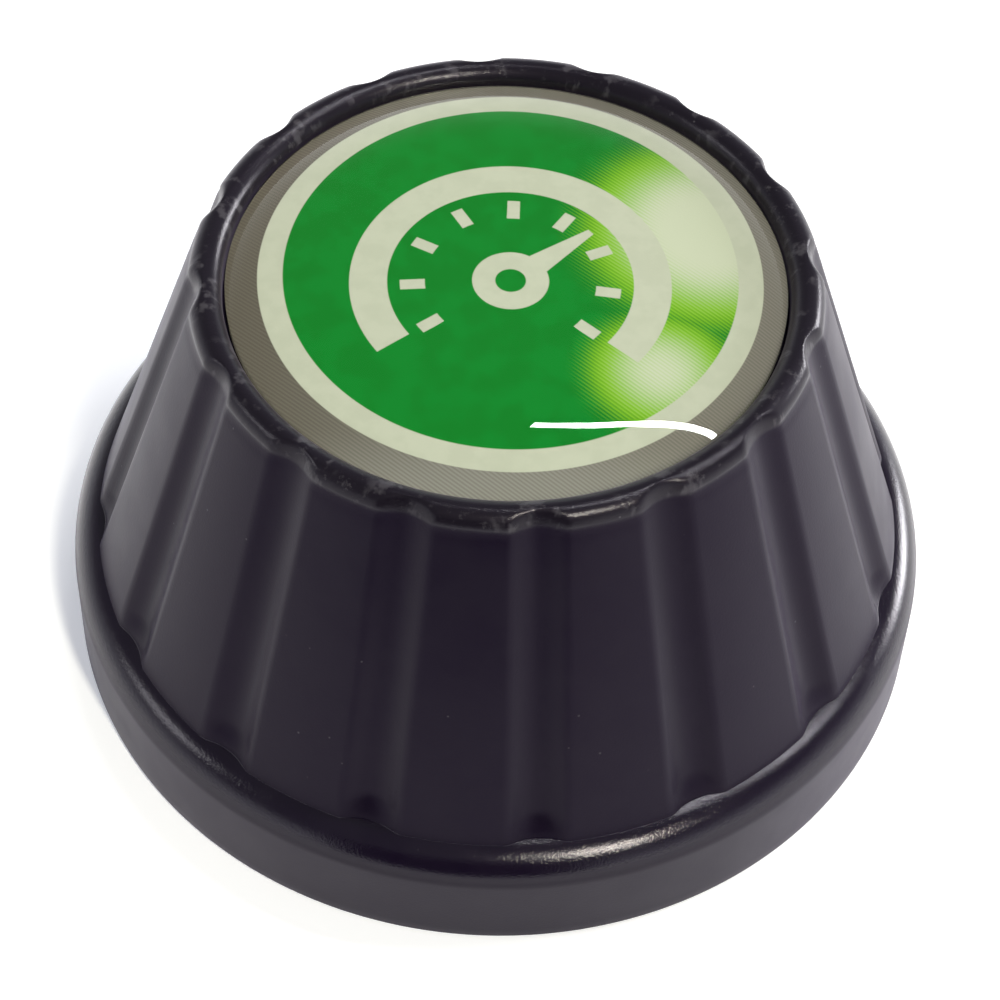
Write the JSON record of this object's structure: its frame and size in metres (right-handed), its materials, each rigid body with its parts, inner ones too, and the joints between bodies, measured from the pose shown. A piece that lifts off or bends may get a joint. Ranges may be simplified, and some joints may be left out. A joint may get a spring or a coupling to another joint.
{
  "type": "tire pressure monitor",
  "caption": "Screw-on tyre pressure monitor for a valve stem: a fluted black cone on a flange, a domed round label on top and a brass threaded socket in a twist-off base.",
  "frame": {"origin": "centre of the resting face, on the axis", "axes": "+Z along the axis, away from the tyre; the threaded socket opens towards -Z; the label reads upright from -Y"},
  "size_m": [0.0382, 0.0382, 0.0213],
  "materials": {
    "housing_plastic": "satin black, glossy on the rim bead and the foot fillet",
    "cap_plastic": "fine spark-eroded texture",
    "label_print": "printed foil: silver border, cream ring, green disc",
    "clear_resin": "clear domed polyurethane",
    "adhesive": "milky acrylic adhesive",
    "foam": "closed-cell foam",
    "black_rubber": "matte nitrile rubber",
    "red_silicone": "silicone rubber",
    "brass": "turned",
    "steel": "rolled",
    "nickel": "nickel plate",
    "copper": "enamelled copper wire",
    "chip_epoxy": "moulded epoxy",
    "circuit_board": "solder mask",
    "ceramic": "ceramic with tinned ends",
    "ferrite": "ferrite",
    "grey_nylon": "nylon"
  },
  "bodies": {
    "housing_unit": {"housing": "housing_plastic", "label_adhesive": "adhesive", "label_foil": "label_print", "label_dome": "clear_resin", "battery_pad": "foam"},
    "base_unit": {"base_cap": "cap_plastic", "base_o_ring": "black_rubber", "valve_insert": "brass", "valve_seal": "black_rubber", "core_depressor": "brass", "port_gasket": "red_silicone", "sensor_lid": "nickel", "pressure_sensor": "chip_epoxy", "circuit_board": "circuit_board", "board_screws": "steel", "rf_transmitter": "chip_epoxy", "crystal": "nickel", "capacitors": "ceramic", "resistors": "chip_epoxy", "inductors": "ferrite", "antenna_loop": "copper", "battery_can": "steel", "battery_cap": "steel", "battery_seal": "grey_nylon", "battery_clip": "nickel", "battery_contact": "nickel"}
  },
  "joints": [
    {"name": "base_twist", "type": "hinge", "parent": "housing_unit", "child": "base_unit", "pos_m": [0, 0, 0.0017], "axis": [0, 0, -1], "range_deg": [0, 60]}
  ]
}
